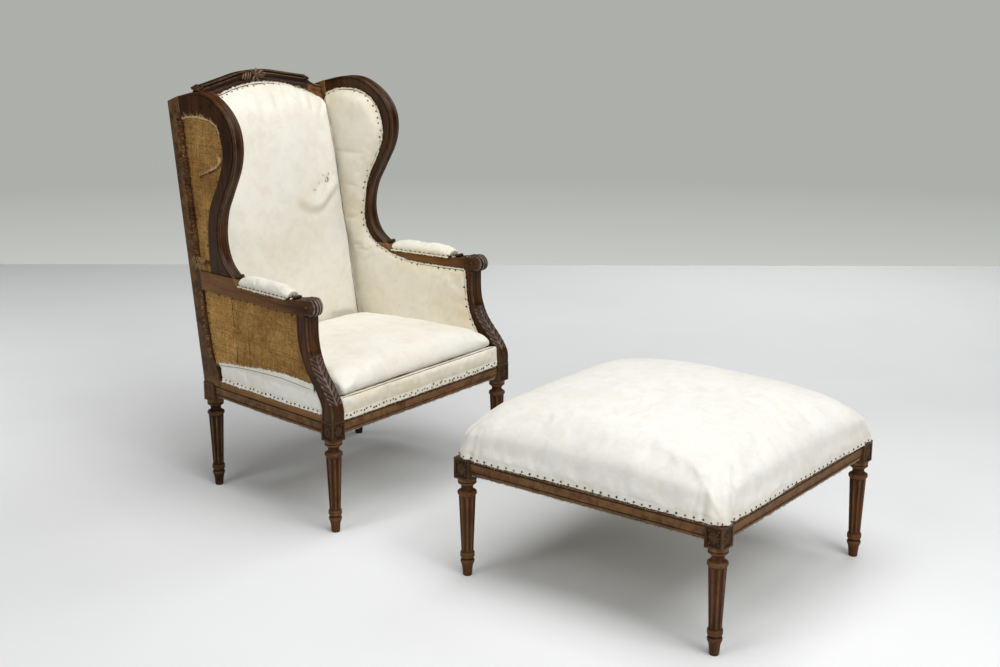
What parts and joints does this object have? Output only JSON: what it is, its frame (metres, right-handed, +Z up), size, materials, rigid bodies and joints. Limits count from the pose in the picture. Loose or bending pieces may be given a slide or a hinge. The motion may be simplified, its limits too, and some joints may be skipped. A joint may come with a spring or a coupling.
{
  "type": "wingback armchair with footstool",
  "caption": "Show-wood wingback armchair on turned fluted legs, upholstered in calico with hessian sides, with a matching square domed footstool.",
  "frame": {"origin": "On the floor, in the middle of the box round the chair and its footstool.", "axes": "+Z up. The chair faces -Y towards its footstool, and +X is the viewer's right seen from the front."},
  "size_m": [0.718, 1.7525, 1.107],
  "materials": {
    "walnut_frame": "dark stained and waxed, worn at the edges",
    "inside_timber": "unfinished beech",
    "calico": "unbleached cotton, slightly stained",
    "hessian": "open plain weave, frayed at the edges",
    "webbing": "woven jute strap",
    "bottoming_cloth": "thin cotton",
    "spring_wire": "coppered spring wire, dulled"
  },
  "bodies": {
    "chair": {"front_leg_left": "walnut_frame", "front_leg_right": "walnut_frame", "back_post_left": "walnut_frame", "back_post_right": "walnut_frame", "front_rail": "walnut_frame", "rear_rail": "walnut_frame", "side_rail_left": "walnut_frame", "side_rail_right": "walnut_frame", "arm_support_left": "walnut_frame", "arm_support_right": "walnut_frame", "arm_left": "walnut_frame", "arm_right": "walnut_frame", "wing_frame_left": "walnut_frame", "wing_frame_right": "walnut_frame", "crest_rail": "walnut_frame", "back_bottom_rail": "inside_timber", "side_stuffing_rail_left": "inside_timber", "side_stuffing_rail_right": "inside_timber", "side_upright_left": "inside_timber", "side_upright_right": "inside_timber", "front_brace_left": "inside_timber", "front_brace_right": "inside_timber", "rear_brace_left": "inside_timber", "rear_brace_right": "inside_timber", "seat_webbing": "webbing", "front_spring_left": "spring_wire", "front_spring_right": "spring_wire", "rear_spring_left": "spring_wire", "rear_spring_right": "spring_wire", "front_edge_roll": "calico", "side_edge_roll_left": "calico", "side_edge_roll_right": "calico", "seat_pad": "calico", "back_webbing": "webbing", "back_pad": "calico", "back_hessian": "hessian", "side_pad_left": "calico", "side_pad_right": "calico", "arm_rest_pad_left": "calico", "arm_rest_pad_right": "calico", "wing_hessian_left": "hessian", "wing_hessian_right": "hessian", "arm_hessian_left": "hessian", "arm_hessian_right": "hessian", "seat_dust_cover": "bottoming_cloth"},
    "footstool": {"stool_front_leg_left": "walnut_frame", "stool_front_leg_right": "walnut_frame", "stool_rear_leg_left": "walnut_frame", "stool_rear_leg_right": "walnut_frame", "stool_front_rail": "walnut_frame", "stool_rear_rail": "walnut_frame", "stool_side_rail_left": "walnut_frame", "stool_side_rail_right": "walnut_frame", "stool_front_brace_left": "inside_timber", "stool_front_brace_right": "inside_timber", "stool_rear_brace_left": "inside_timber", "stool_rear_brace_right": "inside_timber", "stool_webbing": "webbing", "stool_pad": "calico", "stool_dust_cover": "bottoming_cloth"}
  },
  "joints": [
    {"name": "footstool_slide", "type": "slide", "parent": "chair", "child": "footstool", "axis": [0, -1, 0], "range_m": [-0.36, 0.6]}
  ]
}
